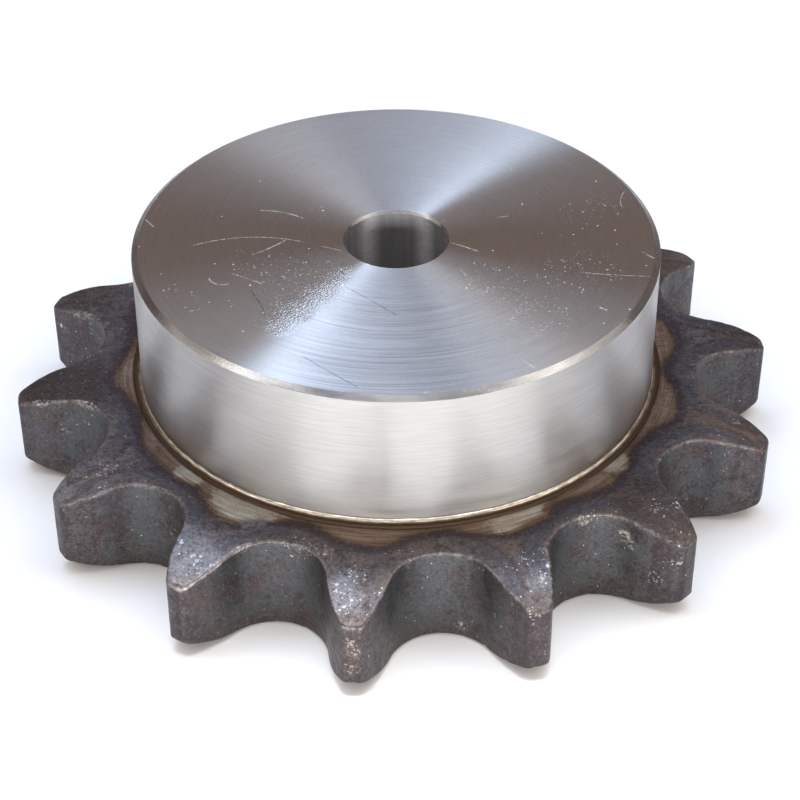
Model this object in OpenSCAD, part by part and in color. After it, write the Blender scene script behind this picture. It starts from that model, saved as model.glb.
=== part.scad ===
// Roller-chain sprocket with a long hub on one side, turned, bored and hobbed from one piece of steel.
// The origin is where the bore's axis meets the flat back face of the toothed rim.
// +Z runs along the bore towards the hub's end, and one tooth points along +X.

/* [Chain] */
// Pitch of the chain, from one roller's centre to the next
pitch = 25.4; // [24:0.1:27]
// Diameter of the chain's rollers
roller_d = 15.88; // [15:0.01:16.5]
// Number of teeth on the rim
teeth = 14; // [14:1:20]

/* [Teeth] */
// Width of the toothed rim, which fits between the chain's inner plates
rim_w = 16.2; // [14:0.1:18]
// Angle of the root arc in which a roller seats
seat_angle = 131.6; // [126:0.1:133]
// Radius of the convex flank above the root arc
flank_r = 24.4; // [24:0.1:40]
// Height of the tooth tips above the pitch circle
tip_rise = 4.95; // [4:0.05:5.2]
// Radius of the arc that relieves both sides of the teeth
relief_r = 28.6; // [26:0.1:32]
// How far each side of a tooth falls back at its tip
relief_depth = 2.55; // [1.5:0.05:3]

/* [Hub] */
// Diameter of the hub
hub_d = 83.5; // [40:0.5:84]
// Whole length of the bore, through the rim and the hub
overall_l = 39.6; // [30:0.1:60]
// Width of the chamfer on the hub's end face, measured along the radius
chamfer_w = 1; // [0.5:0.1:2]
// Height of that chamfer, measured along the bore
chamfer_h = 0.7; // [0.5:0.1:2]
// Width of the turned ledge round the foot of the hub
ledge_w = 1.25; // [0.8:0.05:1.5]
// Height of that ledge above the side of the rim
ledge_h = 0.4; // [0.3:0.05:0.6]
// Radius of the fillet between the hub and its ledge
foot_r = 0.6; // [0.3:0.05:0.75]

/* [Bore] */
// Diameter of the plain pilot bore
bore_d = 16; // [10:0.5:30]
// Chamfer at both mouths of the bore
bore_chamfer = 0.4; // [0.2:0.1:1]

/* [Hidden] */
$fn = 180;

// The tooth form follows the usual roller-chain rule: a root arc a little larger than the roller, then convex flanks.
pitch_r = pitch / 2 / sin(180 / teeth);
// These two factors give the widest root arc that the roller-chain standard allows.
seat_share = 0.505;
seat_growth = 0.069;
seat_r = seat_share * roller_d + seat_growth * pow(roller_d, 1 / 3);
tip_r = pitch_r + tip_rise;
hub_r = hub_d / 2;
bore_r = bore_d / 2;
step_angle = 360 / teeth;

// The ledge's outer edge is rounded over most of its height.
ledge_edge_r = 0.9 * ledge_h;

// Root and flank arcs overlap by this much, so that they cross cleanly where they meet.
arc_lap = 0.02;
// Cutting tools run this far past the face that they cut.
overrun = 2;

// The flank's centre lies on the line from the roller's centre through the end of the root arc.
flank_reach = seat_r + flank_r - arc_lap;
flank_x = pitch_r - flank_reach * cos(seat_angle / 2);
flank_y = flank_reach * sin(seat_angle / 2);
// End of the root arc, where the flank takes over
seat_end_x = pitch_r - seat_r * cos(seat_angle / 2);
seat_end_y = seat_r * sin(seat_angle / 2);

// The side relief starts where its arc has risen to the rim's face, at a slope of only this many degrees.
relief_entry = 2;
relief_sink = relief_r * cos(relief_entry);
relief_x = tip_r - sqrt(relief_r * relief_r - pow(relief_sink - relief_depth, 2));
relief_start = relief_x + relief_r * sin(relief_entry);

// Half of the rim's cross-section, with both corners relieved by one arc each
module rim_section() {
    square([relief_start, rim_w]);
    intersection() {
        translate([relief_start - overrun, 0]) square([tip_r - relief_start + overrun, rim_w]);
        translate([relief_x, rim_w - relief_sink]) circle(r = relief_r);
        translate([relief_x, relief_sink]) circle(r = relief_r);
    }
}

// Half of the hub's cross-section, from the rim's back face to its chamfered end
module hub_section() {
    polygon([
        [0, 0],
        [hub_r, 0],
        [hub_r, overall_l - chamfer_h],
        [hub_r - chamfer_w, overall_l],
        [0, overall_l]
    ]);
}

// The ledge left by the facing cut round the hub: rounded outside, with a hollow fillet up to the hub
module ledge_section() {
    ledge_z = rim_w + ledge_h;
    outside = ledge_w + overrun;
    translate([hub_r - overrun, rim_w - overrun]) square([outside - ledge_edge_r, overrun + ledge_h]);
    translate([hub_r - overrun, rim_w - overrun]) square([outside, overrun + ledge_h - ledge_edge_r]);
    translate([hub_r + ledge_w - ledge_edge_r, ledge_z - ledge_edge_r]) circle(r = ledge_edge_r);
    difference() {
        translate([hub_r - overrun, ledge_z - overrun]) square([overrun + foot_r, overrun + foot_r]);
        translate([hub_r + foot_r, ledge_z + foot_r]) circle(r = foot_r);
    }
}

// The blank as it leaves the lathe, before the teeth are cut
module turned_blank() {
    rotate_extrude() rim_section();
    rotate_extrude() hub_section();
    rotate_extrude() ledge_section();
}

// Outline of the gap between two teeth, with a roller's seat on +X
module gap_outline() {
    out_x = tip_r + overrun;
    out_y = out_x * tan(step_angle / 2);
    translate([pitch_r, 0]) circle(r = seat_r);
    difference() {
        polygon([
            [seat_end_x, -seat_end_y],
            [out_x, -out_y],
            [out_x, out_y],
            [seat_end_x, seat_end_y]
        ]);
        for (side = [-1, 1]) translate([flank_x, side * flank_y]) circle(r = flank_r);
    }
}

// All the gaps, half a step round from the teeth
module tooth_gaps() {
    for (i = [0 : teeth - 1])
        rotate([0, 0, (i + 0.5) * step_angle])
            translate([0, 0, -overrun]) linear_extrude(height = rim_w + 2 * overrun) gap_outline();
}

// The pilot bore with a small chamfer at each mouth
module pilot_bore() {
    mouth_r = bore_r + bore_chamfer;
    translate([0, 0, -overrun]) cylinder(r = bore_r, h = overall_l + 2 * overrun);
    translate([0, 0, -overrun]) cylinder(r1 = mouth_r + overrun, r2 = bore_r, h = bore_chamfer + overrun);
    translate([0, 0, overall_l - bore_chamfer])
        cylinder(r1 = bore_r, r2 = mouth_r + overrun, h = bore_chamfer + overrun);
}

module sprocket() {
    color("slategray") difference() {
        turned_blank();
        tooth_gaps();
        pilot_bore();
    }
}

sprocket();
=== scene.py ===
"""A roller-chain sprocket of 14 teeth: a bright turned hub on a flame-hardened rim, all one piece of steel.

Sizes are in millimetres here, with the origin on the bore's axis in the rim's flat back face and +Z towards
the hub's end. They become metres when the mesh is made. The form's numbers are those of the part's source.
"""

import math

import bpy
import numpy as np
from mathutils import Matrix, Vector, noise


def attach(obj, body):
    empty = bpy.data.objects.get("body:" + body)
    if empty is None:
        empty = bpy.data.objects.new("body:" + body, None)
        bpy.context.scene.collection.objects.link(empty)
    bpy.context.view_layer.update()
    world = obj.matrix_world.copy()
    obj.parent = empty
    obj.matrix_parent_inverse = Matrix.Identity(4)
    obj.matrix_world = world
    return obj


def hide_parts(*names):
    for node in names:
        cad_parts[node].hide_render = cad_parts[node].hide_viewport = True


MM = 0.001

# Chain and teeth. The two seat numbers give the widest root arc that the roller-chain standard allows.
TEETH = 14
STEP = 2 * math.pi / TEETH
CHAIN_PITCH = 25.4
ROLLER_D = 15.88
PITCH_R = CHAIN_PITCH / 2 / math.sin(STEP / 2)
SEAT_SHARE = 0.505
SEAT_GROWTH = 0.069
SEAT_R = SEAT_SHARE * ROLLER_D + SEAT_GROWTH * ROLLER_D ** (1 / 3)
SEAT_ANGLE = 131.6
SEAT_HALF = math.radians(SEAT_ANGLE / 2)
FLANK_R = 24.4
TIP_RISE = 4.95
TIP_R = PITCH_R + TIP_RISE
RIM_W = 16.2

# The arc that relieves both sides of the teeth
RELIEF_R = 28.6
RELIEF_DEPTH = 2.55
RELIEF_ENTRY = math.radians(2)
RELIEF_SINK = RELIEF_R * math.cos(RELIEF_ENTRY)
RELIEF_X = TIP_R - math.sqrt(RELIEF_R**2 - (RELIEF_SINK - RELIEF_DEPTH) ** 2)
RELIEF_START = RELIEF_X + RELIEF_R * math.sin(RELIEF_ENTRY)

# Hub, ledge and bore
HUB_R = 41.75
TOP_Z = 39.6
CHAMFER_W = 1.0
CHAMFER_H = 0.7
LEDGE_R = 43.0
LEDGE_Z = 16.6
FOOT_R = 0.6
BORE_R = 8.0
BORE_CHAMFER = 0.4
MOUTH_R = BORE_R + BORE_CHAMFER

# Rounding of the turned edges, and steps of the mesh round each of them
MOUTH_ROUND = 0.06
HUB_ROUND = 0.08
LEDGE_ROUND = 0.3
ARC_STEPS = 3

# Columns of the mesh in half a tooth step: over the seat, flank, worn tip corner and half of the tip land
SEAT_COLUMNS = 16
FLANK_COLUMNS = 12
CORNER_COLUMNS = 5
LAND_COLUMNS = 3
CORNER_WEAR = 0.8

# Rows of the mesh over the rim: shares of the way along each surface, and degrees round the teeth's edges
UPPER_SHARES = (0.012, 0.05, 0.1, 0.17, 0.25, 0.33, 0.41, 0.49, 0.57, 0.65, 0.73, 0.8, 0.86, 0.91, 0.95, 0.98)
UPPER_TURNS = (0, 22.5, 45, 67.5, 90)
WALL_SHARES = (0.04, 0.12, 0.24, 0.37, 0.5, 0.63, 0.76, 0.88, 0.96)
LOWER_TURNS = (90, 60, 30, 0)
LOWER_SHARES = (0.96, 0.88, 0.76, 0.62, 0.48, 0.33, 0.18)
BACK_RADII = (HUB_R, 36.0, 27.0, 18.0, MOUTH_R + 0.4)
# Distance to the teeth's upper edge, as given to surfaces that its wear doesn't reach
FAR = 99.0

# How far the teeth's edges are rounded: everywhere, more at the tips, with a waver, knocks and rubbed places
EDGE_WEAR = 0.24
TIP_WEAR = 0.14
TIP_ZONE = 2.5
WAVER = 0.08
KNOCK_DEPTH = 0.9
KNOCK_LEVEL = 0.32
RUBBED_WEAR = 0.45
LEAST_WEAR = 0.12
MOST_WEAR = 0.75
# Places in the noise from which the upper and the lower edges take their wear
UPPER_SEED = 0
LOWER_SEED = 200
# Step from those places and changes per millimetre, for the slow and the fine waver and for the knocks
SLOW_NOISE = (0, 0.3)
FINE_NOISE = (40, 1.1)
KNOCK_NOISE = (80, 0.8)

# Waves of the uneven scale: changes per millimetre, and height. They fade in beyond the ledge.
SCALE_WAVES = ((0.22, 0.035), (0.9, 0.02))
SCALE_START = LEDGE_R + 1
SCALE_FADE = 4
# Height over the flat back up to which there is none
BACK_SPARED = 0.3

# The camera as matched to the photograph: heading round the bore's axis, angles in radians and distance.
# Directions of lights are given as seen from the same heading.
CAMERA_HEADING = math.radians(-6.82)
CAMERA_ELEVATION = 0.5788
CAMERA_DISTANCE = 345.76
CAMERA_LENS = 98.15
CAMERA_PAN = 0.0016
CAMERA_TILT = 0.0739
CAMERA_ROLL = 0.0026

WARM_WHITE = (1.0, 0.98, 0.95)
NEAR_WHITE = (1.0, 0.99, 0.97)
SKY_BLUE = (0.62, 0.77, 1.0)
WORLD_COLOUR = (0.26, 0.2, 0.18, 1)

# Two curved soft boxes: metres away, their grid in degrees, strength, and (azimuth, how bright it is there)
OVERHEAD_DISTANCE = 1.15
OVERHEAD_AZIMUTHS = np.arange(14, 161, 1.5)
OVERHEAD_TILTS = np.arange(11, 32, 4)
OVERHEAD_STRENGTH = 8.2
OVERHEAD_GLOW = (
    (14, 0.04), (24, 0.075), (32, 0.095), (42, 0.085), (49, 0.02), (54, 0.0),
    (56, 1.3), (58, 1.25), (61, 0.85), (66, 0.66), (72, 0.53), (84, 0.38),
    (100, 0.27), (112, 0.29), (122, 0.25), (130, 0.15), (142, 0.105), (160, 0.078),
)
FRONT_DISTANCE = 1.2
FRONT_AZIMUTHS = np.arange(-75, 86, 5)
FRONT_ELEVATIONS = np.arange(0, 13, 3)
FRONT_STRENGTH = 10.5
FRONT_GLOW = (
    (-70, 0.0), (-60, 0.15), (-48, 0.5), (-36, 0.95), (-20, 1.0),
    (25, 1.0), (40, 0.85), (56, 0.58), (68, 0.28), (80, 0.0),
)
# A box has its own colour where it is bright, and turns to this warmer one below the level given here
FAINT_LEVEL = 0.2
FAINT_SHADE = (1.0, 0.93, 0.93)

# Soft lamps: name, direction as (right, away, up) from the part, distance and size in metres, power, colour
AREA_LIGHTS = (
    ("left_soft", (-0.54, -0.05, 0.83), 0.9, (0.16, 0.45), 0.95, WARM_WHITE),
    ("left_fill", (-0.72, 0.05, 0.69), 0.9, (0.6, 0.6), 0.85, WARM_WHITE),
    ("right_soft", (0.48, 0.04, 0.87), 0.9, (0.35, 0.45), 1.25, WARM_WHITE),
    ("right_fill", (0.68, 0.05, 0.73), 0.9, (0.6, 0.6), 1.3, WARM_WHITE),
    ("front_soft", (0.0, -0.55, 0.83), 1.2, (1.6, 0.6), 2.2, NEAR_WHITE),
)
# Height on the bore's axis at which they aim
AIM_HEIGHT = 25
# A narrow lamp lights a pool on the floor in front of the part. The hub's side and the near walls mirror it.
POOL_LIGHT = ("floor_pool", (0.0, 0.1, 1.0), 0.4, (0.3, 0.06), 0.38, NEAR_WHITE)
# Its spread in degrees, and how far in front of the bore's axis the pool lies
POOL_SPREAD = 28
POOL_REACH = 150

# The floor's half width and its height, in metres
FLOOR_HALF = 6.0
FLOOR_Z = -0.0002

# Share of a full turn between the tangent round the bore and the direction across the turning marks
ACROSS_TURNS = 0.25

# Marks seen in the photograph, in plan millimetres. Scratches on the hub's face, and short painted highlights
# on its edge: start, end, bend, half width
FACE_SCRATCHES_AND_GLINTS = (
    ((-32.5, 1.8), (-14.0, 0.5), 2.1, 0.13), ((-23.1, -1.9), (-17.3, 1.8), -0.25, 0.2),
    ((-20.9, 11.0), (-13.9, 7.6), 0.6, 0.18), ((8.2, -2.1), (12.4, -5.3), 0.1, 0.2),
    ((26.7, -12.8), (39.0, -15.6), -0.25, 0.13), ((-26.0, -6.9), (-21.7, -10.3), 0.1, 0.13),
    ((-30.0, -7.4), (-26.8, -9.4), -1.0, 0.24), ((-39.2, 10.5), (-37.9, 8.1), 0.0, 0.2),
    ((-12.3, -0.6), (-8.9, -2.5), 0.1, 0.1), ((-33.5, -16.2), (-31.7, -15.7), 0.1, 0.1),
    ((38.1, -9.0), (39.3, -10.6), 0.0, 0.2), ((38.8, 9.5), (37.3, 4.4), -0.5, 0.1),
    ((16.7, 4.1), (18.7, 4.3), 0.0, 0.12), ((28.2, -22.6), (29.3, -23.5), 0.0, 0.3),
    # The short lines at about 40.5 mm out, by the face's front edge, are painted highlights of that edge
    ((14.4, -34.2), (15.9, -36.7), 0.0, 0.12), ((-0.9, -40.5), (0.1, -40.4), 0.0, 0.25),
    ((1.4, -40.7), (2.3, -40.7), 0.0, 0.2),
)
# Dark hairlines on the hub's face, in the same form
DARK_SCRATCHES = (
    ((-9.6, -12.1), (-2.2, -21.2), 0.1, 0.13), ((-17.4, -29.5), (-10.0, -38.2), -0.1, 0.13),
    ((-23.9, -11.4), (-22.0, -19.2), 0.3, 0.12), ((-16.4, -20.8), (-15.2, -19.4), 0.0, 0.16),
)

# These lists hold round patches as (x, y, z, radius). The first is gathered dust on the hub's face.
FACE_DUST = (
    (-23.0, -5.0, 39.6, 6.0), (-15.5, -8.5, 39.6, 8.5), (-14.0, -14.5, 39.6, 7.5),
    (-19.5, -19.5, 39.6, 5.5), (-34.0, -10.5, 39.6, 3.5), (13.0, -14.0, 39.6, 7.0),
    (19.0, -24.0, 39.6, 6.5), (27.0, -13.0, 39.6, 8.0), (32.0, 4.0, 39.6, 6.0),
)
# Where the cuts on the hub's face show light and dark, painted as highlight and shade
GROOVED = (
    (-5.0, -29.0, 39.6, 20.0),
)
# A grainy streak along the left side of the face's near bright sector
GRAINY = (
    (-9.8, -9.1, 39.6, 4.0), (-13.5, -13.5, 39.6, 4.8), (-17.5, -18.0, 39.6, 4.8),
    (-20.5, -21.5, 39.6, 3.2),
)
# Crumbs of bare steel on the teeth
BRIGHT_SPOTS = (
    (-14.4, -55.6, 15.2, 3.7), (-12.8, -52.5, 15.9, 3.2), (-16.1, -46.8, 16.2, 2.0),
    (-20.5, -44.2, 15.8, 2.6), (-35.5, -45.6, 15.4, 3.0), (14.6, -55.3, 15.3, 2.6),
    (13.0, -51.6, 16.0, 2.2), (34.2, -42.6, 15.8, 2.4), (36.5, -49.1, 10.5, 1.9),
    (33.4, -47.5, 6.4, 1.8), (-47.9, -23.0, 16.1, 2.6), (24.0, -43.4, 15.2, 2.0),
    (-18.4, -45.4, 16.0, 1.9), (-37.5, -41.0, 15.8, 1.3), (16.2, -50.5, 16.0, 1.7),
    (15.9, -52.8, 15.7, 1.5), (15.6, -55.4, 15.2, 1.7), (37.9, -41.7, 15.5, 1.6),
    (48.9, -28.1, 13.9, 1.1), (48.8, -28.1, 10.3, 1.1), (51.2, -22.4, 15.6, 1.8),
    (-8.7, -56.1, 15.4, 1.6), (-4.9, -50.5, 15.9, 1.5), (12.8, -60.5, 13.7, 1.5),
    (-54.5, -4.6, 10.3, 1.3), (-55.0, 23.4, 10.7, 1.3), (-51.0, -24.6, 14.6, 1.6),
    (-48.4, -26.4, 15.2, 1.4),
)
# Teeth whose upper side is rustier than the rest
RUSTY_TEETH = (
    (31.6, -43.8, 15.9, 9.0), (50.4, -23.6, 15.7, 9.0), (52.1, 23.3, 15.4, 8.0),
)
# Where the bright turned steel reaches further out from the hub
BARE_STEEL = (
    (-27.5, -35.0, 16.2, 8.2), (13.5, -42.7, 16.2, 6.5), (-35.0, -26.5, 16.2, 3.5),
    (30.5, -31.5, 16.2, 3.2),
)
# Teeth whose upper side is darkened as painted shade
SHADED_TEETH = (
    (-54.0, -1.0, 15.8, 11.0), (35.0, -42.5, 15.9, 10.0),
)
# Teeth whose upper side carries a paler, pitted skin, made paler still as a painted sheen
PALE_SHEEN_TEETH = (
    (-36.8, -47.2, 14.5, 14.0), (-26.0, -39.2, 14.0, 4.0), (-14.2, -54.5, 14.5, 5.0),
    (13.8, -55.0, 14.5, 3.2), (-56.5, -26.0, 14.0, 6.0),
)
# Stretches of the teeth's upper edges that are rubbed round and bright
WORN_EDGES = (
    (-37.7, -48.0, 14.4, 3.5), (-33.0, -47.0, 15.2, 3.5), (-28.5, -44.8, 15.8, 3.5),
    (16.4, -49.5, 16.0, 3.0), (15.8, -54.0, 15.4, 3.5), (-58.3, -3.4, 15.0, 2.5),
    (-50.8, -6.2, 15.6, 3.0), (-51.2, 19.8, 15.8, 3.6), (-49.8, -25.2, 15.6, 3.6),
    (-37.7, -41.1, 15.7, 1.0),
)
# Cream-coloured rust on the teeth
CREAM_PATCHES = (
    (-14.0, -60.4, 10.6, 1.5), (-13.6, -60.5, 8.9, 1.4), (-13.8, -60.5, 5.1, 1.6),
    (3.8, -49.9, 2.2, 1.5), (29.0, -44.6, 12.8, 1.8), (30.3, -45.4, 11.4, 1.3),
    (23.2, -43.6, 15.6, 1.6), (-42.5, 27.0, 15.6, 1.5),
)

# Plan azimuths of the two painted highlights in the bore, pale stripes along its wall, and their half width
BORE_HIGHLIGHT_AZIMUTHS = (math.radians(48), math.radians(117))
BORE_HIGHLIGHT_WIDTH = 2.6

# Colours as linear red, green and blue. A pair holds the ends between which noise mixes.
FACE_STEEL = ((0.51, 0.51, 0.52), (0.58, 0.575, 0.57))
FACE_GRIT = (0.4, 0.39, 0.39)
FACE_WARM = (0.55, 0.51, 0.48)
# Painted shade and painted highlight of the cuts in one area of the face
CUT_SHADE = (0.38, 0.37, 0.41)
CUT_HIGHLIGHT = (0.66, 0.655, 0.67)
DARK_HAIR = (0.2, 0.19, 0.19)
# Pale scratches and dust, and the painted highlights on the face's edge
BRIGHT_MARK_AND_GLINT = (0.8, 0.79, 0.77)
SIDE_STEEL = ((0.395, 0.385, 0.38), (0.465, 0.455, 0.445))
SIDE_SMUDGE = (0.4, 0.38, 0.36)
SIDE_PIT = (0.3, 0.28, 0.27)
CHAMFER_STEEL = ((0.26, 0.25, 0.245), (0.39, 0.38, 0.365))
BORE_STEEL = ((0.31, 0.308, 0.316), (0.37, 0.368, 0.376))
# Painted highlight: the colour of the two pale stripes in the bore
BORE_HIGHLIGHT_PAINT = (0.68, 0.675, 0.69)
BORE_GROOVE = (0.22, 0.218, 0.222)
BACK_STEEL = ((0.42, 0.41, 0.4), (0.52, 0.51, 0.5))
BACK_TEMPER = (0.34, 0.27, 0.18)
LEDGE_STRAW = ((0.15, 0.108, 0.07), (0.33, 0.255, 0.165))
LEDGE_COPPER = (0.18, 0.1, 0.058)
# Pale steel of the ledge's hollow, kept narrow as a painted highlight line
LEDGE_HOLLOW_HIGHLIGHT = ((0.42, 0.385, 0.33), (0.7, 0.66, 0.58))
# Painted shade in the crease where the ledge meets the hub's side
LEDGE_CREASE_SHADE = (0.24, 0.21, 0.18)
# Brown of the ledge's outer edge, darkened as painted shade where its step falls away
LEDGE_EDGE_SHADE = (0.07, 0.045, 0.03)
# Painted shade on the rim at the foot of the ledge's step
RIM_FOOT_SHADE = (0.07, 0.04, 0.024)
RIM_STRAW = ((0.3, 0.215, 0.17), (0.17, 0.112, 0.08))
RIM_BARE = ((0.54, 0.505, 0.44), (0.4, 0.345, 0.265))
OXIDE = ((0.08, 0.06, 0.057), (0.155, 0.136, 0.134))
OXIDE_RUST = (0.175, 0.128, 0.106)
OXIDE_BLUE = (0.076, 0.078, 0.092)
OXIDE_LINE = (0.045, 0.03, 0.026)
# Painted shade for the upper side of some teeth
PAINTED_TOOTH_SHADE = (0.068, 0.048, 0.043)
WALL_GREY = ((0.056, 0.047, 0.05), (0.12, 0.106, 0.11))
WALL_DARK_BAND = (0.046, 0.034, 0.04)
WALL_PALE_BAND = (0.1, 0.107, 0.11)
WALL_STREAK = (0.055, 0.047, 0.05)
WALL_SEAT = (0.097, 0.104, 0.107)
WALL_BROWN = (0.096, 0.068, 0.057)
SCALE_PIT = (0.042, 0.03, 0.027)
SCALE_GRAIN = (0.21, 0.185, 0.175)
# Paler pitted skin, partly a painted sheen on the teeth listed
FROST_AND_SHEEN = (0.2, 0.184, 0.188)
RUBBED_EDGE = (0.22, 0.198, 0.185)
WORN_STEEL = (0.33, 0.315, 0.3)
FLECK = (0.53, 0.51, 0.505)
CREAM = (0.38, 0.33, 0.265)

# Temper colours on the rim's side: heat where each starts to fade outwards, heat where it is gone, colour
TEMPER_BANDS = (
    (0.7, 2.8, (0.062, 0.05, 0.056)),
    (0.1, 0.9, (0.09, 0.052, 0.042)),
    (-0.6, 0.3, (0.18, 0.12, 0.08)),
)


def fractions(count):
    """count even steps from 0, without 1."""
    return np.arange(count) / count


def on_arc(centre, radius, angles):
    return np.stack([centre[0] + radius * np.cos(angles), centre[1] + radius * np.sin(angles)], 1)


def plan(radius, angle):
    return np.stack([radius * np.cos(angle), radius * np.sin(angle)], 1)


def half_outline():
    """Plan points from the middle of a gap, on +X, to the middle of the next tooth."""
    reach = SEAT_R + FLANK_R
    centre = np.array([PITCH_R - reach * math.cos(SEAT_HALF), reach * math.sin(SEAT_HALF)])
    far = np.linalg.norm(centre)
    begin = -SEAT_HALF
    swing = math.acos((TIP_R**2 - far**2 - FLANK_R**2) / (2 * far * FLANK_R))
    end = math.atan2(centre[1], centre[0]) - swing
    tip_angle = math.atan2(centre[1] + FLANK_R * math.sin(end), centre[0] + FLANK_R * math.cos(end))
    flank_end = end - CORNER_WEAR / FLANK_R
    land_start = tip_angle + CORNER_WEAR / TIP_R

    seat = on_arc((PITCH_R, 0), SEAT_R, math.pi - SEAT_HALF * fractions(SEAT_COLUMNS))
    flank = on_arc(centre, FLANK_R, begin + (flank_end - begin) * fractions(FLANK_COLUMNS))
    below, sharp = on_arc(centre, FLANK_R, np.array([flank_end, end]))
    above = plan(TIP_R, np.array([land_start]))[0]
    t = fractions(CORNER_COLUMNS)[:, None]
    corner = (1 - t) ** 2 * below + 2 * t * (1 - t) * sharp + t**2 * above
    steps = np.arange(LAND_COLUMNS + 1) / LAND_COLUMNS
    land = plan(TIP_R, land_start + (STEP / 2 - land_start) * steps)
    return np.concatenate([seat, flank, corner, land])


def outline():
    """The closed outline of the teeth, as (radius, angle) for each column, starting at the tooth on +X."""
    half = half_outline()
    radius = np.hypot(half[:, 0], half[:, 1])
    angle = np.arctan2(half[:, 1], half[:, 0])
    one = np.concatenate([radius[:0:-1], radius[:-1]])
    turn = np.concatenate([-angle[:0:-1], angle[:-1]])
    gaps = (np.arange(TEETH) + 0.5) * STEP
    return np.tile(one, TEETH), (gaps[:, None] + turn[None, :]).ravel()


def inward(points):
    """Unit plan normals that point into the steel, for a closed line that runs counter-clockwise."""
    along = np.roll(points, -1, 0) - np.roll(points, 1, 0)
    normal = np.stack([-along[:, 1], along[:, 0]], 1)
    return normal / np.linalg.norm(normal, axis=1)[:, None]


def relief(radius):
    """How far each side of the rim falls back at this radius."""
    out = np.clip(radius - RELIEF_X, 0, None)
    fall = RELIEF_SINK - np.sqrt(np.clip(RELIEF_R**2 - out**2, 0, None))
    return np.where(radius > RELIEF_START, np.clip(fall, 0, None), 0)


def corner_arc(before, here, after, radius):
    """Points of the arc that rounds one corner of a section line."""
    u = (before - here) / np.linalg.norm(before - here)
    v = (after - here) / np.linalg.norm(after - here)
    half = math.acos(np.clip(u @ v, -1, 1)) / 2
    cut = radius / math.tan(half)
    centre = here + (u + v) / np.linalg.norm(u + v) * radius / math.sin(half)
    start, end = here + u * cut - centre, here + v * cut - centre
    swing = math.atan2(start[0] * end[1] - start[1] * end[0], start @ end)
    points = []
    for k in range(ARC_STEPS + 1):
        a = swing * k / ARC_STEPS
        x = start[0] * math.cos(a) - start[1] * math.sin(a)
        y = start[0] * math.sin(a) + start[1] * math.cos(a)
        points.append(centre + np.array([x, y]))
    return points


def rounded(corners):
    """A section line with rounded corners, as (radius, z, surface) for each row of the mesh.

    corners holds (radius, z, rounding, steps to the next, surface). A rounding of 0 leaves the corner sharp.
    """
    line = []
    for i, (r, z, rounding, steps, surface) in enumerate(corners):
        points = [np.array([r, z])]
        if rounding:
            before, after = np.array(corners[i - 1][:2]), np.array(corners[i + 1][:2])
            points = corner_arc(before, points[0], after, rounding)
        line += [(point, 1, surface) for point in points[:-1]]
        line.append((points[-1], steps, surface))
    rows = []
    for (here, steps, surface), (following, _, _) in zip(line, line[1:]):
        for k in range(steps):
            point = here + (following - here) * k / steps
            rows.append((point[0], point[1], surface))
    end, _, surface = line[-1]
    rows.append((end[0], end[1], surface))
    return rows


def hub_section():
    """From the bore's lower mouth up the bore, over the hub's face and down its side to the ledge's foot."""
    return rounded([
        (BORE_R, BORE_CHAMFER, 0, 5, "bore_wall"),
        (BORE_R, TOP_Z - BORE_CHAMFER, MOUTH_ROUND, 1, "chamfer"),
        (MOUTH_R, TOP_Z, MOUTH_ROUND, 6, "turned_face"),
        (HUB_R - CHAMFER_W, TOP_Z, HUB_ROUND, 2, "chamfer"),
        (HUB_R, TOP_Z - CHAMFER_H, HUB_ROUND, 4, "turned_side"),
        (HUB_R, LEDGE_Z, FOOT_R, 1, "ledge"),
        (LEDGE_R, LEDGE_Z, LEDGE_ROUND, 1, "ledge"),
        (LEDGE_R, RIM_W, 0, 1, "hardened_rim"),
    ])


def rubbed_round(x, y):
    """0 to 1: how much rounder the teeth's upper edge is at the places that the photograph shows rubbed."""
    return max(0.0, max(1 - math.hypot(x - spot[0], y - spot[1]) / spot[3] for spot in WORN_EDGES))


def wear_noise(x, y, seed, kind):
    step, fineness = kind
    return noise.noise(Vector((x, y, seed + step)) * fineness)


def edge_wear(columns, seed, rubbed=0.0):
    """How far the teeth's edges are rounded by wear and knocks, for each column. The tips are worn most."""
    wear = []
    for x, y in columns:
        slow, fine = wear_noise(x, y, seed, SLOW_NOISE), wear_noise(x, y, seed, FINE_NOISE)
        knock = max(0.0, wear_noise(x, y, seed, KNOCK_NOISE) - KNOCK_LEVEL)
        at_tip = min(1.0, max(0.0, (math.hypot(x, y) - TIP_R + TIP_ZONE) / TIP_ZONE))
        even = EDGE_WEAR + TIP_WEAR * at_tip + WAVER * slow + WAVER * fine
        wear.append(even + KNOCK_DEPTH * knock + rubbed * rubbed_round(x, y))
    return np.clip(wear, LEAST_WEAR, MOST_WEAR)


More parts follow.
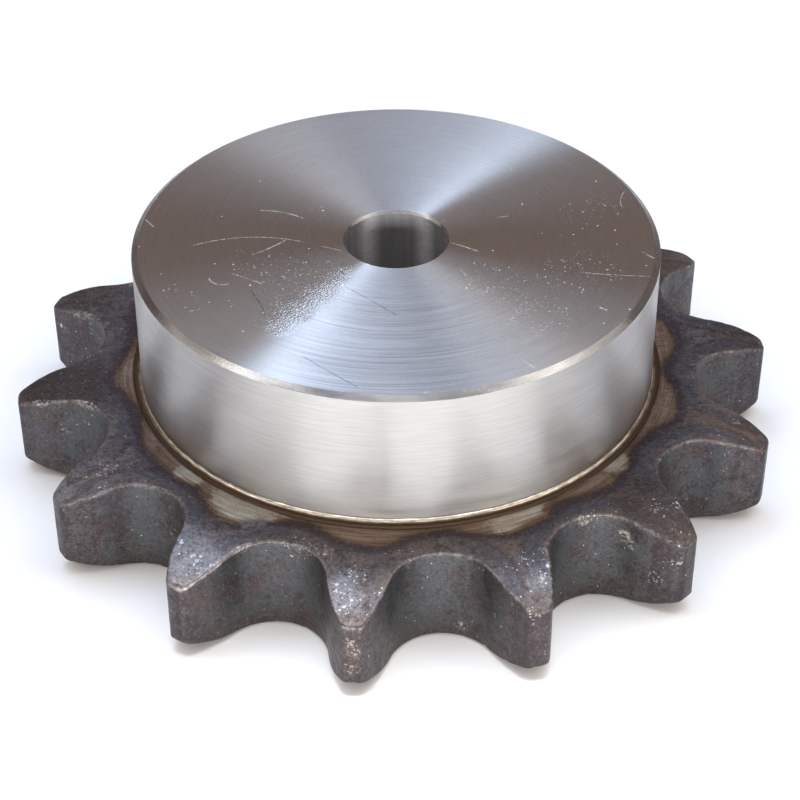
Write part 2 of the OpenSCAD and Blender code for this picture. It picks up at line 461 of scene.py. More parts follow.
class Skin:
    """Rows of vertices over the steel, each with its surface and its distances to the teeth's upper edge."""

    def __init__(self):
        self.edge_r, angle = outline()
        self.edge = plan(self.edge_r, angle)
        self.normal = inward(self.edge)
        self.flat_angles = fractions(len(self.edge)) * 2 * math.pi
        self.rows, self.surfaces, self.to_edge = [], [], []

    def add(self, surface, points, z, to_edge=FAR):
        count = len(points)
        self.rows.append(np.column_stack([points, np.full(count, z)]))
        self.surfaces.append(surface)
        self.to_edge.append(np.full(count, to_edge))

    def circle(self, surface, radius, z):
        self.add(surface, plan(radius, self.flat_angles), z)

    def side(self, share, start_r, wear, upper):
        """A row on a side of the rim, at this share of the way from a circle to where the wear begins."""
        start = plan(start_r, self.flat_angles)
        points = start + (self.edge + self.normal * wear[:, None] - start) * share
        fall = relief(np.hypot(points[:, 0], points[:, 1]))
        if upper:
            self.add("hardened_rim", points, RIM_W - fall, np.linalg.norm(self.edge - points, axis=1))
        else:
            self.add("hardened_rim", points, fall)

    def bend(self, degrees, wear, upper):
        """A row round the worn edge, from 0 degrees on the rim's side to 90 degrees on the tooth's wall."""
        turn = math.radians(degrees)
        inset = wear * (1 - math.sin(turn))
        drop = wear * (1 - math.cos(turn))
        points = self.edge + self.normal * inset[:, None]
        fall = relief(np.hypot(points[:, 0], points[:, 1]))
        if upper:
            self.add("hardened_rim", points, RIM_W - fall - drop, inset + drop)
        else:
            self.add("hardened_rim", points, fall + drop)

    def cover_hub(self):
        for radius, z, surface in hub_section():
            self.circle(surface, radius, z)

    def cover_rim(self):
        """Over the rim's upper side from the ledge, down the teeth's walls and back under to the hub."""
        wear = edge_wear(self.edge, UPPER_SEED, RUBBED_WEAR)
        for share in UPPER_SHARES:
            self.side(share, LEDGE_R, wear, True)
        for degrees in UPPER_TURNS:
            self.bend(degrees, wear, True)
        top = self.rows[-1][:, 2]
        under = edge_wear(self.edge, LOWER_SEED)
        low = relief(self.edge_r) + under
        for share in WALL_SHARES:
            self.add("hardened_rim", self.edge, top + (low - top) * share, (top - low) * share + wear)
        for degrees in LOWER_TURNS:
            self.bend(degrees, under, False)
        for share in LOWER_SHARES:
            self.side(share, HUB_R, under, False)

    def cover_back(self):
        for radius in BACK_RADII:
            self.circle("back_face", radius, 0.0)
        self.circle("chamfer", MOUTH_R, 0.0)


def vertex_normals(grid):
    """Normals weighted by the faces' areas, so that flat faces stay flat up to their rounded edges."""
    right = np.roll(grid, -1, 1) - grid
    up = np.roll(grid, -1, 0) - grid
    diagonal = np.roll(np.roll(grid, -1, 0), -1, 1) - grid
    area = np.cross(diagonal, right) + np.cross(up, diagonal)
    total = area + np.roll(area, 1, 0) + np.roll(area, 1, 1) + np.roll(np.roll(area, 1, 0), 1, 1)
    return total / np.linalg.norm(total, axis=2)[:, :, None]


def scale_share(grid, surfaces):
    """0 to 1: how much of the uneven scale each vertex takes."""
    hardened = np.array([surface == "hardened_rim" for surface in surfaces], float)
    beyond_ledge = np.clip((np.hypot(grid[:, :, 0], grid[:, :, 1]) - SCALE_START) / SCALE_FADE, 0, 1)
    return hardened[:, None] * beyond_ledge * (grid[:, :, 2] > BACK_SPARED)


def roughen(grid, normals, share):
    """Moves each vertex along its normal by its share of the waves of scale."""
    moved = grid.copy()
    points, outwards, shares = moved.reshape(-1, 3), normals.reshape(-1, 3), share.ravel()
    for i in np.nonzero(shares)[0]:
        place = Vector(points[i])
        height = sum(noise.noise(place * fineness) * depth for fineness, depth in SCALE_WAVES)
        points[i] += outwards[i] * (height * shares[i])
    return moved


def grid_faces(row_count, count):
    """Four-cornered faces of a grid that closes on itself both ways."""
    index = np.arange(row_count * count).reshape(row_count, count)
    right, up = np.roll(index, -1, 1), np.roll(index, -1, 0)
    return np.stack([index, up, np.roll(up, -1, 1), right], 2).reshape(-1, 4)


def add_object(name, data):
    made = bpy.data.objects.new(name, data)
    bpy.context.scene.collection.objects.link(made)
    return made


def build_sprocket(materials):
    skin = Skin()
    skin.cover_hub()
    skin.cover_rim()
    skin.cover_back()
    smooth = np.array(skin.rows)
    normals = vertex_normals(smooth)
    grid = roughen(smooth, normals, scale_share(smooth, skin.surfaces))
    # 1 on the teeth's upright walls, falling to 0 where the surface leans by about 42 degrees or more
    wall = 1 - np.clip(np.abs(normals[:, :, 2]) * 1.5, 0, 1)

    row_count, count = grid.shape[:2]
    faces = grid_faces(row_count, count)
    mesh = bpy.data.meshes.new("sprocket_steel")
    mesh.from_pydata((grid.reshape(-1, 3) * MM).tolist(), [], faces.tolist())
    for material in materials.values():
        mesh.materials.append(material)
    names = list(materials)
    slots = np.repeat([names.index(surface) for surface in skin.surfaces], count)
    mesh.polygons.foreach_set("material_index", slots.astype(np.int32))
    mesh.polygons.foreach_set("use_smooth", np.ones(len(faces), bool))
    for name, values in (("edge_mm", np.array(skin.to_edge)), ("wall", wall)):
        attribute = mesh.attributes.new(name, "FLOAT", "POINT")
        attribute.data.foreach_set("value", values.ravel().astype(np.float32))
    mesh.normals_split_custom_set_from_vertices(vertex_normals(grid).reshape(-1, 3).tolist())
    mesh.update()
    piece = add_object("sprocket_steel", mesh)
    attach(piece, "root")
    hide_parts("sprocket")


def is_socket(value):
    return isinstance(value, bpy.types.NodeSocket)


def opaque(colour):
    """A colour as its socket takes it: another socket, or a fixed colour with a fourth value of 1."""
    return colour if is_socket(colour) else (*colour, 1)


class Graph:
    """The nodes of one material. Its methods add nodes and return sockets. Positions are in millimetres."""

    def __init__(self, name):
        self.material = bpy.data.materials.new(name)
        self.material.use_nodes = True
        self.tree = self.material.node_tree
        self.tree.nodes.clear()
        self.shader = self.node("BsdfPrincipled")
        self.node("OutputMaterial", Surface=self.shader.outputs["BSDF"])
        self.place = self.vector("SCALE", self.node("TexCoord").outputs["Object"], Scale=1 / MM)
        self.x, self.y, self.z = self.node("SeparateXYZ", self.place).outputs
        square = self.add(self.multiply(self.x, self.x), self.multiply(self.y, self.y))
        self.radius = self.math("SQRT", square)

    def put(self, value, socket):
        if is_socket(value):
            self.tree.links.new(value, socket)
        else:
            socket.default_value = value

    def node(self, kind, *values, operation=None, **named):
        """A new node with its operation, if it has one, and its inputs by position or by name."""
        node = self.tree.nodes.new("ShaderNode" + kind)
        if operation:
            node.operation = operation
        for value, socket in zip(values, node.inputs):
            self.put(value, socket)
        for name, value in named.items():
            self.put(value, node.inputs[name])
        return node

    def math(self, operation, *values):
        return self.node("Math", *values, operation=operation).outputs[0]

    def add(self, a, b):
        return self.math("ADD", a, b)

    def subtract(self, a, b):
        return self.math("SUBTRACT", a, b)

    def multiply(self, a, b):
        return self.math("MULTIPLY", a, b)

    def divide(self, a, b):
        return self.math("DIVIDE", a, b)

    def largest(self, *values):
        found = values[0]
        for value in values[1:]:
            found = self.math("MAXIMUM", found, value)
        return found

    def vector(self, operation, *values, **named):
        node = self.node("VectorMath", *values, operation=operation, **named)
        return node.outputs["Value" if operation == "DISTANCE" else "Vector"]

    def combine(self, x, y, z):
        return self.node("CombineXYZ", x, y, z).outputs[0]

    def noise(self, vector, scale=1.0, detail=2.0, roughness=0.5):
        node = self.node("TexNoise", Vector=vector, Scale=scale, Detail=detail, Roughness=roughness)
        return node.outputs["Fac"]

    def ramp(self, value, low, high, to_low=0.0, to_high=1.0, smooth=True):
        """value from low..high mapped to to_low..to_high, and held there beyond them."""
        node = self.node("MapRange", value, low, high, to_low, to_high)
        node.interpolation_type = "SMOOTHSTEP" if smooth else "LINEAR"
        return node.outputs[0]

    def mix(self, share, a, b):
        """Colour a where share is 0 and colour b where it is 1."""
        node = self.node("Mix", share)
        node.data_type = "RGBA"
        self.put(opaque(a), node.inputs[6])
        self.put(opaque(b), node.inputs[7])
        return node.outputs[2]

    def mix_value(self, share, a, b):
        return self.add(self.multiply(share, b), self.multiply(self.subtract(1.0, share), a))

    def attribute(self, name):
        node = self.node("Attribute")
        node.attribute_name = name
        return node.outputs["Fac"]

    def bump(self, height, distance):
        """height 0..1 stands for distance, in millimetres."""
        return self.node("Bump", Strength=1.0, Distance=distance * MM, Height=height).outputs[0]

    def bumps(self, *layers):
        """One bump from several layers, each a height of 0..1 and the millimetres that it stands for."""
        total = 0.0
        for height, depth in layers:
            total = self.add(total, self.multiply(height, depth))
        return self.bump(total, 1.0)

    def turned_tangent(self):
        node = self.node("Tangent")
        node.direction_type = "RADIAL"
        node.axis = "Z"
        return node.outputs[0]

    def turns(self, fineness, arcs):
        """Noise in rings round the bore, with fineness changes per millimetre. More arcs break it up more."""
        unit = self.vector("SCALE", self.place, Scale=self.divide(arcs, self.radius))
        x, y, _ = self.node("SeparateXYZ", unit).outputs
        outward = self.multiply(self.add(self.radius, self.z), fineness)
        return self.noise(self.combine(x, y, outward), 1.0, 3.0, 0.6)

    def streaks(self, fineness):
        """Noise drawn out along the bore's axis."""
        drawn = self.vector("MULTIPLY", self.place, (fineness, fineness, fineness * 0.06))
        return self.noise(drawn, 1.0, 3.0, 0.6)

    def shaken(self, fineness, amount):
        """The position, pushed about by noise so that what is drawn there gets an uneven outline."""
        push = self.node("TexNoise", Vector=self.place, Scale=fineness, Detail=1.0).outputs["Color"]
        push = self.vector("SUBTRACT", push, (0.5, 0.5, 0.5))
        return self.vector("ADD", self.place, self.vector("SCALE", push, Scale=amount))

    def specks(self, fineness, size, share, place):
        """0.3 to 1 inside scattered specks: size is their radius, and share of the cells hold one."""
        cells = self.node("TexVoronoi", Vector=place, Scale=fineness)
        chance, spread, strength = self.node("SeparateColor", cells.outputs["Color"]).outputs
        there = self.math("GREATER_THAN", chance, self.subtract(1.0, share))
        own_size = self.ramp(spread, 0.0, 1.0, 0.55 * size * fineness, size * fineness)
        inside = self.ramp(self.divide(cells.outputs["Distance"], own_size), 1.0, 0.6)
        faint = self.ramp(strength, 0.0, 1.0, 0.3, 1.0)
        return self.multiply(self.multiply(there, faint), inside)

    def blob(self, x, y, z, radius):
        """1 at a point, falling to 0 at radius from it."""
        return self.ramp(self.vector("DISTANCE", self.place, (x, y, z)), radius, 0.0, smooth=False)

    def spots(self, places):
        return self.largest(*[self.blob(*place) for place in places])

    def stripe(self, azimuth, half_width):
        """1 on a line along the bore at this azimuth, falling to 0 at half_width from it."""
        foot = (BORE_R * math.cos(azimuth), BORE_R * math.sin(azimuth), 0.0)
        flat = self.combine(self.x, self.y, 0.0)
        return self.ramp(self.vector("DISTANCE", flat, foot), half_width, 0.0)

    def scratch(self, start, end, bend, width):
        """1 along a fine bowed line between two plan points, fading at both ends."""
        run = Vector(end) - Vector(start)
        way = run.normalized()
        rx, ry = self.subtract(self.x, start[0]), self.subtract(self.y, start[1])
        along = self.add(self.multiply(rx, way.x), self.multiply(ry, way.y))
        across = self.subtract(self.multiply(ry, way.x), self.multiply(rx, way.y))
        t = self.divide(along, run.length)
        bow = self.multiply(t, self.subtract(1.0, t))
        off = self.math("ABSOLUTE", self.subtract(across, self.multiply(bow, 4 * bend)))
        return self.multiply(self.ramp(off, width, width * 0.3), self.ramp(bow, 0.0, 0.05))

    def scratches(self, marks):
        return self.largest(*[self.scratch(*mark) for mark in marks])

    def to_roller(self):
        """Distance in plan from the middle of the nearest roller's seat."""
        turns = self.subtract(self.divide(self.math("ARCTAN2", self.y, self.x), STEP), 0.5)
        aside = self.multiply(self.subtract(turns, self.math("ROUND", turns)), STEP)
        across = self.multiply(self.radius, self.multiply(self.math("COSINE", aside), 2 * PITCH_R))
        square = self.add(self.multiply(self.radius, self.radius), PITCH_R**2)
        return self.math("SQRT", self.subtract(square, across))

    def finish(self, colour, roughness, normal, metallic=1.0, anisotropic=0.0):
        """Fills the shader's sockets. An anisotropic surface spreads its shine across the turning marks."""
        looks = {"Base Color": opaque(colour), "Roughness": roughness, "Metallic": metallic, "Normal": normal}
        if anisotropic:
            looks["Anisotropic"] = anisotropic
            looks["Anisotropic Rotation"] = ACROSS_TURNS
            looks["Tangent"] = self.turned_tangent()
        for name, value in looks.items():
            self.put(value, self.shader.inputs[name])
        return self.material


def face_specks(g):
    """Pale specks: gathered dust, and stray grains on the face's two dark sides."""
    ragged = g.shaken(2.2, 0.4)
    patchy = g.ramp(g.noise(g.place, 0.35, 2.0, 0.6), 0.35, 0.55, 0.3, 1.0)
    gathered = g.multiply(g.ramp(g.spots(FACE_DUST), 0.0, 0.3), patchy)
    grains = g.largest(g.specks(1.2, 0.23, 0.4, ragged), g.specks(2.2, 0.16, 0.6, ragged))
    aside = g.subtract(g.math("ABSOLUTE", g.y), g.math("ABSOLUTE", g.x))
    stray = g.multiply(g.specks(0.6, 0.2, 0.45, ragged), g.ramp(aside, 6.0, -2.0))
    return g.largest(g.multiply(grains, gathered), stray)


def face_colour(g, rings):
    """Bright steel with turning marks, fine grit, warmer areas, and one area where the cuts carry painted
    highlight and shade.
    """
    colour = g.mix(g.ramp(rings, 0.3, 0.7), *FACE_STEEL)
    colour = g.mix(g.ramp(g.noise(g.place, 4.0, 2.0, 0.8), 0.55, 0.35, 0.0, 0.4), colour, FACE_GRIT)
    colour = g.mix(g.ramp(g.noise(g.place, 0.06, 2.0), 0.4, 0.7, 0.0, 0.35), colour, FACE_WARM)
    cuts = g.turns(2.7, 1.3)
    grooved = g.ramp(g.spots(GROOVED), 0.0, 0.5)
    # Painted shade and highlight along the cuts in the grooved area
    colour = g.mix(g.multiply(g.ramp(cuts, 0.53, 0.63, 0.0, 0.65), grooved), colour, CUT_SHADE)
    return g.mix(g.multiply(g.ramp(cuts, 0.45, 0.35, 0.0, 0.65), grooved), colour, CUT_HIGHLIGHT)


def turned_face():
    """The hub's face. Its roughness stays above 0.274, because the denoiser blurs fine marks below that."""
    g = Graph("turned_face")
    rings = g.turns(3.0, 5.0)
    patchy = g.ramp(g.noise(g.place, 1.4, 3.0, 0.7), 0.35, 0.6, 0.25, 1.0)
    # Scratches, and painted highlights along the face's front edge
    lines = g.multiply(g.scratches(FACE_SCRATCHES_AND_GLINTS), patchy)
    hairs = g.multiply(g.scratches(DARK_SCRATCHES), patchy)
    marks = g.largest(face_specks(g), g.multiply(lines, 0.7))
    colour = g.mix(hairs, face_colour(g, rings), DARK_HAIR)
    colour = g.mix(marks, colour, BRIGHT_MARK_AND_GLINT)
    roughness = g.mix_value(marks, g.ramp(g.turns(0.9, 0.7), 0.3, 0.7, 0.276, 0.29), 0.6)
    metallic = g.ramp(marks, 0.0, 1.0, 1.0, 0.35)
    grain = g.multiply(g.noise(g.place, 3.2, 1.0, 0.6), g.ramp(g.spots(GRAINY), 0.0, 0.6))
    normal = g.bumps((rings, 0.0008), (grain, 0.036))
    return g.finish(colour, roughness, normal, metallic, anisotropic=1.0)


def turned_side(name, steel, roughness, scuffs):
    """The hub's side or a chamfer, with turning marks, smudges, small pits and scuffs of the height given."""
    g = Graph(name)
    lines = g.turns(3.0, 6.0)
    smudge = g.noise(g.place, 0.1, 3.0, 0.6)
    pits = g.multiply(g.specks(0.8, 0.13, 0.25, g.place), g.ramp(smudge, 0.5, 0.62))
    colour = g.mix(g.ramp(lines, 0.25, 0.75), *steel)
    colour = g.mix(g.ramp(smudge, 0.35, 0.7, 0.0, 0.25), colour, SIDE_SMUDGE)
    colour = g.mix(g.multiply(pits, 0.6), colour, SIDE_PIT)
    rough = g.ramp(g.add(g.turns(0.6, 1.5), smudge), 0.8, 1.2, roughness - 0.03, roughness + 0.05)
    normal = g.bumps((lines, 0.0015), (pits, -0.02), (g.noise(g.place, 1.8, 3.0, 0.7), scuffs))
    return g.finish(colour, rough, normal, anisotropic=0.9)


def bore_wall():
    """The drilled bore: dull and dark, with two painted highlights, paler stripes along its far side."""
    g = Graph("bore_wall")
    lines = g.turns(3.0, 8.0)
    stripes = g.largest(*[g.stripe(azimuth, BORE_HIGHLIGHT_WIDTH) for azimuth in BORE_HIGHLIGHT_AZIMUTHS])
    colour = g.mix(g.ramp(g.streaks(0.8), 0.35, 0.65), *BORE_STEEL)
    # Painted highlights: the pale stripes along the bore's far side
    colour = g.mix(stripes, colour, BORE_HIGHLIGHT_PAINT)
    colour = g.mix(g.ramp(lines, 0.3, 0.7, 0.0, 0.3), colour, BORE_GROOVE)
    return g.finish(colour, 0.55, g.bump(lines, 0.004), anisotropic=0.8)


def ledge():
    """The turned ledge at the hub's foot: a painted highlight on pale steel in its hollow, painted shade in
    its crease, dull straw on top and brown with painted shade outside.
    """
    g = Graph("ledge")
    lines = g.turns(7.0, 20.0)
    wander = g.noise(g.place, 0.35, 4.0, 0.6)
    outward = g.add(g.radius, g.ramp(wander, 0.3, 0.7, -0.06, 0.06))
    straw = g.mix(g.ramp(lines, 0.4, 0.62), *LEDGE_STRAW)
    copper = g.mix(g.ramp(g.noise(g.place, 0.07, 2.0), 0.4, 0.6, 0.0, 0.7), straw, LEDGE_COPPER)
    # Pale steel, used as a painted highlight line in the hollow
    hollow = g.mix(g.ramp(lines, 0.35, 0.6), *LEDGE_HOLLOW_HIGHLIGHT)
    # Painted shade in the crease by the hub's side, then the painted highlight line
    colour = g.mix(g.ramp(outward, 41.78, 41.88), LEDGE_CREASE_SHADE, hollow)
    colour = g.mix(g.ramp(outward, 42.0, 42.12), colour, copper)
    # Brown with painted shade on the outer edge, where the step falls away
    colour = g.mix(g.ramp(outward, 42.25, 42.5), colour, LEDGE_EDGE_SHADE)
    return g.finish(colour, g.ramp(g.radius, 42.4, 42.7, 0.34, 0.62), g.bumps((lines, 0.008)))


def rim_oxide(g, mottle, slow):
    """Oxide on the rim's side: rusty in places, with a blue band and a dark line that follow each gap."""
    oxide = g.mix(g.ramp(mottle, 0.34, 0.66), *OXIDE)
    rust = g.ramp(g.noise(g.place, 0.16, 5.0, 0.7), 0.5, 0.64, 0.0, 0.7)
    marked = g.subtract(g.spots(RUSTY_TEETH), g.ramp(mottle, 0.4, 0.6, 0.0, 0.3))
    oxide = g.mix(g.largest(rust, g.ramp(marked, 0.0, 0.5)), oxide, OXIDE_RUST)
    near_gap = g.add(g.to_roller(), g.ramp(slow, 0.3, 0.7, -0.5, 0.5))
    band = g.multiply(g.ramp(near_gap, 8.7, 10.1), g.ramp(near_gap, 12.4, 10.2))
    blue = g.multiply(band, g.ramp(g.noise(g.place, 0.04, 1.0), 0.42, 0.58, 0.1, 0.75))
    oxide = g.mix(blue, oxide, OXIDE_BLUE)
    line = g.multiply(g.ramp(near_gap, 11.0, 11.6), g.ramp(near_gap, 12.6, 11.9))
    oxide = g.mix(g.multiply(line, 0.35), oxide, OXIDE_LINE)
    # Painted shade on the upper side of the teeth listed
    return g.mix(g.ramp(g.spots(SHADED_TEETH), 0.0, 0.6, 0.0, 0.75), oxide, PAINTED_TOOTH_SHADE)


def rim_tints(g, mottle):
    """Temper colours of the rim's side: bare steel and straw by the hub, then brown, purple and oxide."""
    slow = g.noise(g.place, 0.09, 1.0)
    brushed = g.turns(2.2, 6.0)
    scallop = g.math("COSINE", g.multiply(g.math("ARCTAN2", g.y, g.x), TEETH))
    edge = g.add(45.3, g.multiply(scallop, 1.15))
    edge = g.add(edge, g.ramp(slow, 0.3, 0.7, -1.0, 1.0, smooth=False))
    bare = g.add(g.spots(BARE_STEEL), g.ramp(mottle, 0.35, 0.65, -0.15, 0.15))
    bare = g.ramp(bare, 0.05, 0.5)
    heat = g.subtract(g.radius, g.add(edge, bare))
    heat = g.add(heat, g.ramp(brushed, 0.25, 0.75, -0.5, 0.5, smooth=False))

    colour = rim_oxide(g, mottle, slow)
    for begin, end, tint in TEMPER_BANDS:
        colour = g.mix(g.ramp(heat, begin, end), tint, colour)
    straw = g.mix(g.ramp(brushed, 0.35, 0.7), *RIM_STRAW)
    straw = g.mix(bare, straw, g.mix(g.ramp(brushed, 0.35, 0.65), *RIM_BARE))
    colour = g.mix(g.ramp(heat, -1.6, -0.4), straw, colour)
    # Painted shade: a dark band on the rim just outside the ledge's step
    return g.mix(g.ramp(g.radius, 43.4, 43.05), colour, RIM_FOOT_SHADE)


def rim_walls(g, mottle, streaks):
    """The teeth's cut sides: dark oxide, greyer in the seats, with brown stains and faint cutter streaks."""
    stain = g.noise(g.place, 0.18, 4.0, 0.62)
    seat = g.multiply(g.ramp(g.to_roller(), 9.4, 8.4), g.ramp(stain, 0.6, 0.45))
    bands = g.streaks(0.2)
    grey = g.mix(g.ramp(mottle, 0.32, 0.68), *WALL_GREY)
    grey = g.mix(g.ramp(bands, 0.46, 0.34, 0.0, 0.6), grey, WALL_DARK_BAND)
    grey = g.mix(g.ramp(bands, 0.54, 0.66, 0.0, 0.5), grey, WALL_PALE_BAND)
    grey = g.mix(g.ramp(streaks, 0.4, 0.7, 0.0, 0.45), grey, WALL_STREAK)
    grey = g.mix(g.multiply(seat, 0.7), grey, WALL_SEAT)
    brown = g.largest(g.ramp(stain, 0.55, 0.68, 0.0, 0.5), g.ramp(g.z, 5.0, 0.5, 0.0, 0.4))
    return g.mix(brown, grey, WALL_BROWN)


def bright_flecks(g, wall):
    """Crumbs of bare steel: dense on the marked spots, sparse elsewhere."""
    ragged = g.shaken(2.6, 0.55)
    dense = g.ramp(g.spots(BRIGHT_SPOTS), 0.0, 0.75)
    coarse = g.specks(1.0, 0.42, g.multiply(dense, 0.6), ragged)
    fine = g.specks(2.3, 0.2, g.multiply(dense, 0.85), ragged)
    sparse = g.ramp(g.noise(g.place, 0.14, 2.0), 0.45, 0.62, 0.02, 0.3)
    on_teeth = g.multiply(g.ramp(g.radius, 45.0, 49.0), g.ramp(wall, 0.5, 1.0, 1.0, 0.5))
    return g.largest(coarse, fine, g.specks(1.5, 0.2, g.multiply(sparse, on_teeth), ragged))


def frost_and_sheen(g, wall, grain):
    """The paler, finely pitted skin on the upper side of some teeth, partly a painted sheen."""
    ragged = g.ramp(g.noise(g.place, 0.3, 4.0, 0.7), 0.35, 0.65, -0.25, 0.15)
    over = g.ramp(g.add(g.spots(PALE_SHEEN_TEETH), ragged), 0.05, 0.7)
    return g.multiply(g.multiply(over, g.ramp(wall, 0.85, 0.35)), g.ramp(grain, 0.34, 0.56, 0.25, 1.0))


def worn_edges(g, edge, chips):
    """Bare steel on the marked stretches of the teeth's edges, wider where the mark is stronger."""
    marked = g.spots(WORN_EDGES)
    reach = g.ramp(marked, 0.1, 0.8, 0.0, 1.3)
    worn = g.multiply(g.ramp(g.subtract(edge, reach), 0.3, -0.6), g.ramp(chips, 0.46, 0.61))
    return g.multiply(worn, g.ramp(marked, 0.0, 0.4))


def hardened_rim():
    """The flame-hardened rim: tints on its side, dark walls, grain, and worn, bright and rusty marks."""
    g = Graph("hardened_rim")
    edge, wall = g.attribute("edge_mm"), g.attribute("wall")
    mottle = g.noise(g.place, 0.5, 6.0, 0.85)
    grain = g.noise(g.place, 2.0, 3.0, 0.8)
    lumps = g.noise(g.place, 0.7, 2.0, 0.6)
    chips = g.noise(g.place, 1.3, 4.0, 0.8)
    streaks = g.streaks(1.4)
    worn = worn_edges(g, edge, chips)
    flecks = bright_flecks(g, wall)
    cream = g.multiply(g.ramp(g.spots(CREAM_PATCHES), 0.1, 0.6), g.ramp(chips, 0.5, 0.58))

    colour = g.mix(wall, rim_tints(g, mottle), rim_walls(g, mottle, streaks))
    outer = g.ramp(g.radius, 43.5, 48.0, 0.25, 0.7)
    colour = g.mix(g.multiply(g.ramp(grain, 0.47, 0.32), outer), colour, SCALE_PIT)
    colour = g.mix(g.ramp(grain, 0.54, 0.72, 0.0, 0.55), colour, SCALE_GRAIN)
    # Pitted skin and painted sheen on the teeth listed
    colour = g.mix(frost_and_sheen(g, wall, grain), colour, FROST_AND_SHEEN)
    rubbed = g.multiply(g.ramp(edge, 0.9, 0.2), g.ramp(chips, 0.47, 0.6, 0.0, 0.75))
    colour = g.mix(rubbed, colour, RUBBED_EDGE)
    colour = g.mix(g.multiply(worn, 0.75), colour, WORN_STEEL)
    colour = g.mix(flecks, colour, FLECK)
    colour = g.mix(g.multiply(cream, 0.85), colour, CREAM)

    roughness = g.mix_value(g.ramp(g.radius, 47.0, 44.5), g.ramp(lumps, 0.35, 0.65, 0.42, 0.54), 0.38)
    roughness = g.mix_value(g.largest(worn, flecks), roughness, 0.36)
    roughness = g.mix_value(cream, roughness, 0.7)
    normal = g.bumps((g.multiply(streaks, wall), 0.015), (lumps, 0.1), (grain, 0.05))
    return g.finish(colour, roughness, normal, g.ramp(cream, 0.0, 1.0, 1.0, 0.2))


def back_face():
    """The hidden back: turned like the hub's face, with a temper colour towards the teeth."""
    g = Graph("back_face")
    rings = g.turns(3.0, 1.5)
    stain = g.noise(g.place, 0.12, 3.0, 0.6)
    outward = g.add(g.radius, g.ramp(stain, 0.3, 0.7, -4.0, 4.0))
    colour = g.mix(g.ramp(rings, 0.3, 0.7), *BACK_STEEL)
    colour = g.mix(g.ramp(outward, 30.0, 41.0, 0.0, 0.85), colour, BACK_TEMPER)
    return g.finish(colour, g.ramp(stain, 0.3, 0.7, 0.34, 0.44), g.bump(rings, 0.005), anisotropic=0.8)


def make_materials():
    """Materials by the surface that each covers, in the order of the mesh's slots."""
    return {
        "bore_wall": bore_wall(),
        "turned_face": turned_face(),
        "chamfer": turned_side("chamfer", CHAMFER_STEEL, roughness=0.26, scuffs=0.012),
        "turned_side": turned_side("turned_side", SIDE_STEEL, roughness=0.34, scuffs=0.003),
        "ledge": ledge(),
        "hardened_rim": hardened_rim(),
        "back_face": back_face(),
    }


def from_camera(right, away, up):
    """A point or direction given as seen from the camera's heading, in the row frame."""
    return Matrix.Rotation(CAMERA_HEADING, 3, "Z") @ Vector((right, away, up))


def to_camera():
    """Direction from the hub's face to the camera, as seen from the camera's heading."""
    return Vector((0, -math.cos(CAMERA_ELEVATION), math.sin(CAMERA_ELEVATION)))


def make_camera():
    data = bpy.data.cameras.new("photo_camera")
    data.sensor_width = 36
    data.lens = CAMERA_LENS
    data.clip_start = 0.01
    camera = add_object("photo_camera", data)
    bpy.context.scene.camera = camera
    turns = ((CAMERA_ROLL, "Z"), (CAMERA_TILT, "X"), (CAMERA_PAN, "Y"), (CAMERA_ELEVATION - math.pi / 2, "X"))
    axes = Matrix.Identity(3)
    for angle, axis in turns:
        axes = axes @ Matrix.Rotation(angle, 3, axis)
    facing = Matrix.Rotation(CAMERA_HEADING, 3, "Z") @ axes.transposed()
    place = Vector((0, 0, TOP_Z)) + from_camera(*(to_camera() * CAMERA_DISTANCE))
    camera.matrix_world = Matrix.Translation(place * MM) @ facing.to_4x4()


def floor_material():
    """Plain and pale, and clear when it is seen from below."""
    material = bpy.data.materials.new("floor")
    material.use_nodes = True
    tree = material.node_tree
    shader = tree.nodes["Principled BSDF"]
    shader.inputs["Base Color"].default_value = (0.95, 0.95, 0.95, 1)
    shader.inputs["Roughness"].default_value = 0.8
    shader.inputs["Specular IOR Level"].default_value = 0.1
    below = tree.nodes.new("ShaderNodeNewGeometry").outputs["Backfacing"]
    clear = tree.nodes.new("ShaderNodeBsdfTransparent")
    either = tree.nodes.new("ShaderNodeMixShader")
    for source, socket in zip((below, shader.outputs[0], clear.outputs[0]), either.inputs):
        tree.links.new(source, socket)
    tree.links.new(either.outputs[0], tree.nodes["Material Output"].inputs["Surface"])
    return material


def make_floor():
    mesh = bpy.data.meshes.new("floor")
    corners = [(x * FLOOR_HALF, y * FLOOR_HALF, FLOOR_Z) for x, y in ((-1, -1), (1, -1), (1, 1), (-1, 1))]
    mesh.from_pydata(corners, [], [(0, 1, 2, 3)])
    mesh.materials.append(floor_material())
    floor = add_object("floor", mesh)


def area_light(name, direction, distance, size, power, colour, spread=180, aim=(0, 0, AIM_HEIGHT)):
    data = bpy.data.lights.new(name, "AREA")
    data.shape = "RECTANGLE"
    data.size, data.size_y = size
    data.energy = power
    data.color = colour
    data.spread = math.radians(spread)
    light = add_object(name, data)
    light.visible_camera = False
    target = Vector(aim) * MM
    light.location = target + from_camera(*direction).normalized() * distance
    light.rotation_euler = (light.location - target).to_track_quat("Z", "Y").to_euler()


def overhead_place(azimuth, tilt):
    """Where a groove at this plan azimuth mirrors the camera's view, if it leans in by this tilt."""
    a, lean = math.radians(azimuth), math.radians(tilt)
    half = Vector((-math.sin(lean) * math.cos(a), -math.sin(lean) * math.sin(a), math.cos(lean)))
    view = to_camera()
    return (2 * view.dot(half) * half - view) * OVERHEAD_DISTANCE


def front_place(azimuth, elevation):
    """A point round the part at this azimuth from straight in front, and this high."""
    a, e = math.radians(azimuth), math.radians(elevation)
    return Vector((math.sin(a) * math.cos(e), -math.cos(a) * math.cos(e), math.sin(e))) * FRONT_DISTANCE


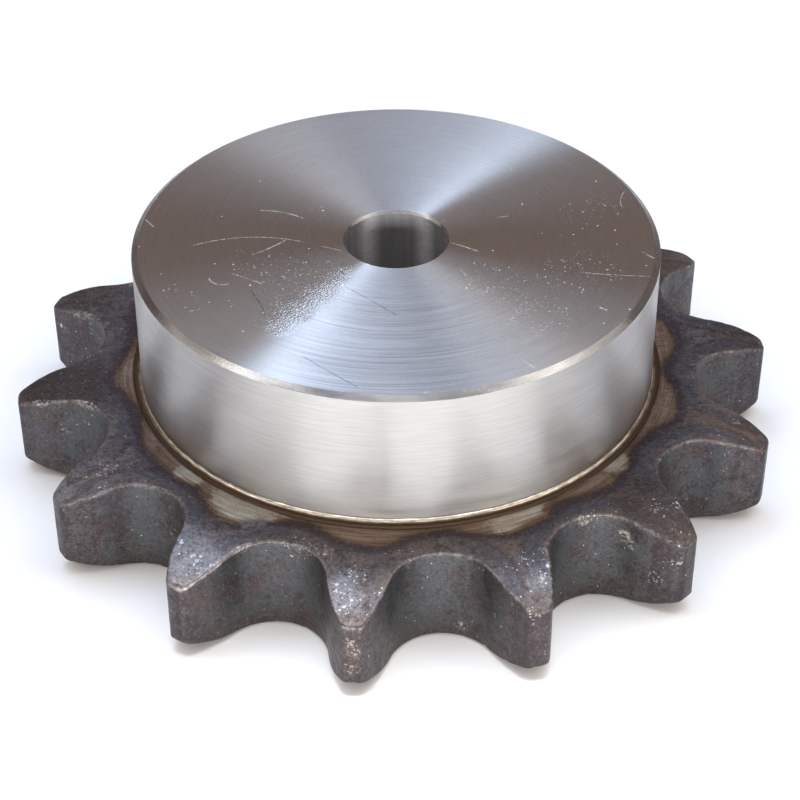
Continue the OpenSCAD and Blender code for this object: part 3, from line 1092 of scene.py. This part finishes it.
def box_shades(azimuths, glow, colour):
    """The colour of a soft box at each azimuth, which grows warmer where the box is faint."""
    levels = np.interp(azimuths, *zip(*glow))[:, None]
    share = np.clip(levels / FAINT_LEVEL, 0, 1)
    return levels * (share * np.array(colour) + (1 - share) * np.array(FAINT_SHADE))


def glow_material(name, strength):
    """A light of this strength with the colours of the mesh's glow attribute."""
    material = bpy.data.materials.new(name)
    material.use_nodes = True
    tree = material.node_tree
    tree.nodes.clear()
    light = tree.nodes.new("ShaderNodeEmission")
    light.inputs["Strength"].default_value = strength
    read = tree.nodes.new("ShaderNodeAttribute")
    read.attribute_name = "glow"
    out = tree.nodes.new("ShaderNodeOutputMaterial")
    tree.links.new(read.outputs["Color"], light.inputs["Color"])
    tree.links.new(light.outputs[0], out.inputs["Surface"])
    return material


def soft_box(name, azimuths, heights, place, glow, strength, colour):
    """A curved, glowing sheet that the camera doesn't see. place gives its points."""
    points = [from_camera(*place(a, h)) + Vector((0, 0, TOP_Z * MM)) for a in azimuths for h in heights]
    rows = len(heights)
    faces = []
    for i in range(len(azimuths) - 1):
        for k in range(i * rows, i * rows + rows - 1):
            faces.append((k, k + 1, k + rows + 1, k + rows))
    mesh = bpy.data.meshes.new(name)
    mesh.from_pydata(points, [], faces)
    shades = np.repeat(box_shades(azimuths, glow, colour), rows, 0)
    shades = np.column_stack([shades, np.ones(len(points))])
    attribute = mesh.attributes.new("glow", "FLOAT_COLOR", "POINT")
    attribute.data.foreach_set("color", shades.ravel().astype(np.float32))
    mesh.materials.append(glow_material(name, strength))
    box = add_object(name, mesh)
    box.visible_camera = False


def make_lights():
    soft_box("overhead_box", OVERHEAD_AZIMUTHS, OVERHEAD_TILTS, overhead_place, OVERHEAD_GLOW,
             OVERHEAD_STRENGTH, SKY_BLUE)
    soft_box("front_box", FRONT_AZIMUTHS, FRONT_ELEVATIONS, front_place, FRONT_GLOW,
             FRONT_STRENGTH, NEAR_WHITE)
    for light in AREA_LIGHTS:
        area_light(*light)
    area_light(*POOL_LIGHT, spread=POOL_SPREAD, aim=from_camera(0, -POOL_REACH, 0))
    world = bpy.data.worlds.new("studio")
    world.use_nodes = True
    background = world.node_tree.nodes["Background"]
    background.inputs["Color"].default_value = WORLD_COLOUR
    background.inputs["Strength"].default_value = 1.0
    bpy.context.scene.world = world


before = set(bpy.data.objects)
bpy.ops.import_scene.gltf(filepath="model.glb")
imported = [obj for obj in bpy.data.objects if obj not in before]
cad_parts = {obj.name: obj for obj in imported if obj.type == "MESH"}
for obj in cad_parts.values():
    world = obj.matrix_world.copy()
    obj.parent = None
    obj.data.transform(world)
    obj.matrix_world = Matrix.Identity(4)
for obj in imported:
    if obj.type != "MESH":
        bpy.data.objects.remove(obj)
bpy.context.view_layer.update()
bpy.context.scene.view_settings.view_transform = "Standard"
make_camera()
make_floor()
make_lights()
build_sprocket(make_materials())
